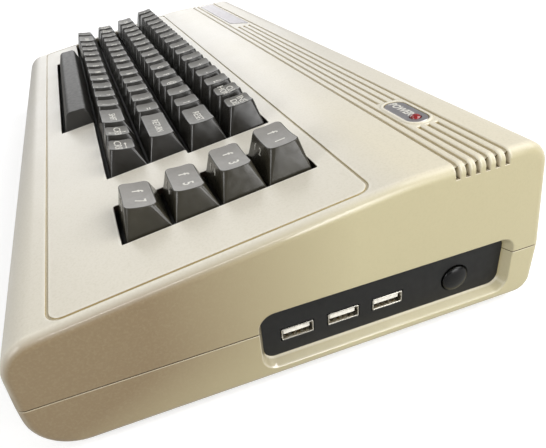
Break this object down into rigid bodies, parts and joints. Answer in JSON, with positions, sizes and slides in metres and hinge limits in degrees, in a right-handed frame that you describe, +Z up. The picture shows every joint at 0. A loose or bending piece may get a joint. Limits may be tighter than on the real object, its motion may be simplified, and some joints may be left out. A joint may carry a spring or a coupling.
{
  "type": "home computer",
  "caption": "Home computer with a full keyboard sunk in a wedge-shaped plastic case, function keys, vent grooves, power lamp, and USB sockets with a power button in a side recess.",
  "frame": {"origin": "on the table, under the middle of the case", "axes": "+X to the user's right, +Y to the rear, +Z up"},
  "size_m": [0.404, 0.208, 0.0822],
  "materials": {
    "shell_plastic": "satin, fine texture",
    "black_plastic": "satin",
    "board_green": "satin",
    "steel": "plated",
    "badge_metal": "brushed",
    "red_lens": "clear red",
    "aluminium": "plain",
    "ribbon_plastic": "smooth",
    "foot_rubber": "plain",
    "key_plastic": "satin",
    "function_key_plastic": "satin"
  },
  "bodies": {
    "case": {"top_case": "shell_plastic", "bottom_case": "shell_plastic", "keyboard_frame": "black_plastic", "side_panel": "black_plastic", "power_switch": "black_plastic", "keyboard_board": "board_green", "main_board": "board_green", "lamp_board": "board_green", "usb_socket_front": "steel", "usb_socket_middle": "steel", "usb_socket_rear": "steel", "rear_usb_socket": "steel", "hdmi_socket": "steel", "power_socket": "steel", "case_screw_left": "steel", "case_screw_middle": "steel", "case_screw_right": "steel", "power_badge": "badge_metal", "name_badge": "badge_metal", "power_lamp": "red_lens", "heat_sink": "aluminium", "keyboard_ribbon": "ribbon_plastic", "foot_front_left": "foot_rubber", "foot_front_right": "foot_rubber", "foot_rear_left": "foot_rubber", "foot_rear_right": "foot_rubber"},
    "power_button": {"power_button": "black_plastic"},
    "blank_key": {"blank_key": "key_plastic"},
    "left_shift_key": {"left_shift_key": "key_plastic"},
    "comma_key": {"comma_key": "key_plastic"},
    "period_key": {"period_key": "key_plastic"},
    "slash_key": {"slash_key": "key_plastic"},
    "right_shift_key": {"right_shift_key": "key_plastic"},
    "cursor_down_key": {"cursor_down_key": "key_plastic"},
    "cursor_right_key": {"cursor_right_key": "key_plastic"},
    "run_stop_key": {"run_stop_key": "key_plastic"},
    "shift_lock_key": {"shift_lock_key": "key_plastic"},
    "colon_key": {"colon_key": "key_plastic"},
    "semicolon_key": {"semicolon_key": "key_plastic"},
    "equals_key": {"equals_key": "key_plastic"},
    "return_key": {"return_key": "key_plastic"},
    "control_key": {"control_key": "key_plastic"},
    "at_key": {"at_key": "key_plastic"},
    "asterisk_key": {"asterisk_key": "key_plastic"},
    "arrow_key": {"arrow_key": "key_plastic"},
    "reset_key": {"reset_key": "key_plastic"},
    "plus_key": {"plus_key": "key_plastic"},
    "minus_key": {"minus_key": "key_plastic"},
    "pound_key": {"pound_key": "key_plastic"},
    "clear_home_key": {"clear_home_key": "key_plastic"},
    "insert_delete_key": {"insert_delete_key": "key_plastic"},
    "space_bar": {"space_bar": "key_plastic"},
    "f7_key": {"f7_key": "function_key_plastic"},
    "f5_key": {"f5_key": "function_key_plastic"},
    "f3_key": {"f3_key": "function_key_plastic"},
    "f1_key": {"f1_key": "function_key_plastic"},
    "z_to_m_keys": {"z_to_m_keys": "key_plastic"},
    "a_to_l_keys": {"a_to_l_keys": "key_plastic"},
    "q_to_p_keys": {"q_to_p_keys": "key_plastic"},
    "number_keys": {"number_keys": "key_plastic"}
  },
  "joints": [
    {"name": "power_button_press", "type": "slide", "parent": "case", "child": "power_button", "axis": [-1, 0, 0], "range_m": [0, 0.0012], "stiffness_N_per_m": 600, "springref_m": -0.001},
    {"name": "blank_key_press", "type": "slide", "parent": "case", "child": "blank_key", "axis": [0, 0.1421, -0.9899], "range_m": [0, 0.0038], "stiffness_N_per_m": 120, "springref_m": -0.005},
    {"name": "left_shift_key_press", "type": "slide", "parent": "case", "child": "left_shift_key", "axis": [0, 0.1421, -0.9899], "range_m": [0, 0.0038], "stiffness_N_per_m": 120, "springref_m": -0.005},
    {"name": "comma_key_press", "type": "slide", "parent": "case", "child": "comma_key", "axis": [0, 0.1421, -0.9899], "range_m": [0, 0.0038], "stiffness_N_per_m": 120, "springref_m": -0.005},
    {"name": "period_key_press", "type": "slide", "parent": "case", "child": "period_key", "axis": [0, 0.1421, -0.9899], "range_m": [0, 0.0038], "stiffness_N_per_m": 120, "springref_m": -0.005},
    {"name": "slash_key_press", "type": "slide", "parent": "case", "child": "slash_key", "axis": [0, 0.1421, -0.9899], "range_m": [0, 0.0038], "stiffness_N_per_m": 120, "springref_m": -0.005},
    {"name": "right_shift_key_press", "type": "slide", "parent": "case", "child": "right_shift_key", "axis": [0, 0.1421, -0.9899], "range_m": [0, 0.0038], "stiffness_N_per_m": 120, "springref_m": -0.005},
    {"name": "cursor_down_key_press", "type": "slide", "parent": "case", "child": "cursor_down_key", "axis": [0, 0.1421, -0.9899], "range_m": [0, 0.0038], "stiffness_N_per_m": 120, "springref_m": -0.005},
    {"name": "cursor_right_key_press", "type": "slide", "parent": "case", "child": "cursor_right_key", "axis": [0, 0.1421, -0.9899], "range_m": [0, 0.0038], "stiffness_N_per_m": 120, "springref_m": -0.005},
    {"name": "run_stop_key_press", "type": "slide", "parent": "case", "child": "run_stop_key", "axis": [0, 0.1421, -0.9899], "range_m": [0, 0.0038], "stiffness_N_per_m": 120, "springref_m": -0.005},
    {"name": "shift_lock_key_press", "type": "slide", "parent": "case", "child": "shift_lock_key", "axis": [0, 0.1421, -0.9899], "range_m": [0, 0.0038], "stiffness_N_per_m": 120, "springref_m": -0.005},
    {"name": "colon_key_press", "type": "slide", "parent": "case", "child": "colon_key", "axis": [0, 0.1421, -0.9899], "range_m": [0, 0.0038], "stiffness_N_per_m": 120, "springref_m": -0.005},
    {"name": "semicolon_key_press", "type": "slide", "parent": "case", "child": "semicolon_key", "axis": [0, 0.1421, -0.9899], "range_m": [0, 0.0038], "stiffness_N_per_m": 120, "springref_m": -0.005},
    {"name": "equals_key_press", "type": "slide", "parent": "case", "child": "equals_key", "axis": [0, 0.1421, -0.9899], "range_m": [0, 0.0038], "stiffness_N_per_m": 120, "springref_m": -0.005},
    {"name": "return_key_press", "type": "slide", "parent": "case", "child": "return_key", "axis": [0, 0.1421, -0.9899], "range_m": [0, 0.0038], "stiffness_N_per_m": 120, "springref_m": -0.005},
    {"name": "control_key_press", "type": "slide", "parent": "case", "child": "control_key", "axis": [0, 0.1421, -0.9899], "range_m": [0, 0.0038], "stiffness_N_per_m": 120, "springref_m": -0.005},
    {"name": "at_key_press", "type": "slide", "parent": "case", "child": "at_key", "axis": [0, 0.1421, -0.9899], "range_m": [0, 0.0038], "stiffness_N_per_m": 120, "springref_m": -0.005},
    {"name": "asterisk_key_press", "type": "slide", "parent": "case", "child": "asterisk_key", "axis": [0, 0.1421, -0.9899], "range_m": [0, 0.0038], "stiffness_N_per_m": 120, "springref_m": -0.005},
    {"name": "arrow_key_press", "type": "slide", "parent": "case", "child": "arrow_key", "axis": [0, 0.1421, -0.9899], "range_m": [0, 0.0038], "stiffness_N_per_m": 120, "springref_m": -0.005},
    {"name": "reset_key_press", "type": "slide", "parent": "case", "child": "reset_key", "axis": [0, 0.1421, -0.9899], "range_m": [0, 0.0038], "stiffness_N_per_m": 120, "springref_m": -0.005},
    {"name": "plus_key_press", "type": "slide", "parent": "case", "child": "plus_key", "axis": [0, 0.1421, -0.9899], "range_m": [0, 0.0038], "stiffness_N_per_m": 120, "springref_m": -0.005},
    {"name": "minus_key_press", "type": "slide", "parent": "case", "child": "minus_key", "axis": [0, 0.1421, -0.9899], "range_m": [0, 0.0038], "stiffness_N_per_m": 120, "springref_m": -0.005},
    {"name": "pound_key_press", "type": "slide", "parent": "case", "child": "pound_key", "axis": [0, 0.1421, -0.9899], "range_m": [0, 0.0038], "stiffness_N_per_m": 120, "springref_m": -0.005},
    {"name": "clear_home_key_press", "type": "slide", "parent": "case", "child": "clear_home_key", "axis": [0, 0.1421, -0.9899], "range_m": [0, 0.0038], "stiffness_N_per_m": 120, "springref_m": -0.005},
    {"name": "insert_delete_key_press", "type": "slide", "parent": "case", "child": "insert_delete_key", "axis": [0, 0.1421, -0.9899], "range_m": [0, 0.0038], "stiffness_N_per_m": 120, "springref_m": -0.005},
    {"name": "space_bar_press", "type": "slide", "parent": "case", "child": "space_bar", "axis": [0, 0.1421, -0.9899], "range_m": [0, 0.0038], "stiffness_N_per_m": 200, "springref_m": -0.005},
    {"name": "f7_key_press", "type": "slide", "parent": "case", "child": "f7_key", "axis": [0, 0.1421, -0.9899], "range_m": [0, 0.0038], "stiffness_N_per_m": 120, "springref_m": -0.005},
    {"name": "f5_key_press", "type": "slide", "parent": "case", "child": "f5_key", "axis": [0, 0.1421, -0.9899], "range_m": [0, 0.0038], "stiffness_N_per_m": 120, "springref_m": -0.005},
    {"name": "f3_key_press", "type": "slide", "parent": "case", "child": "f3_key", "axis": [0, 0.1421, -0.9899], "range_m": [0, 0.0038], "stiffness_N_per_m": 120, "springref_m": -0.005},
    {"name": "f1_key_press", "type": "slide", "parent": "case", "child": "f1_key", "axis": [0, 0.1421, -0.9899], "range_m": [0, 0.0038], "stiffness_N_per_m": 120, "springref_m": -0.005},
    {"name": "z_to_m_keys_press", "type": "slide", "parent": "case", "child": "z_to_m_keys", "axis": [0, 0.1421, -0.9899], "range_m": [0, 0.0038], "stiffness_N_per_m": 400, "springref_m": -0.005},
    {"name": "a_to_l_keys_press", "type": "slide", "parent": "case", "child": "a_to_l_keys", "axis": [0, 0.1421, -0.9899], "range_m": [0, 0.0038], "stiffness_N_per_m": 400, "springref_m": -0.005},
    {"name": "q_to_p_keys_press", "type": "slide", "parent": "case", "child": "q_to_p_keys", "axis": [0, 0.1421, -0.9899], "range_m": [0, 0.0038], "stiffness_N_per_m": 400, "springref_m": -0.005},
    {"name": "number_keys_press", "type": "slide", "parent": "case", "child": "number_keys", "axis": [0, 0.1421, -0.9899], "range_m": [0, 0.0038], "stiffness_N_per_m": 400, "springref_m": -0.005}
  ]
}
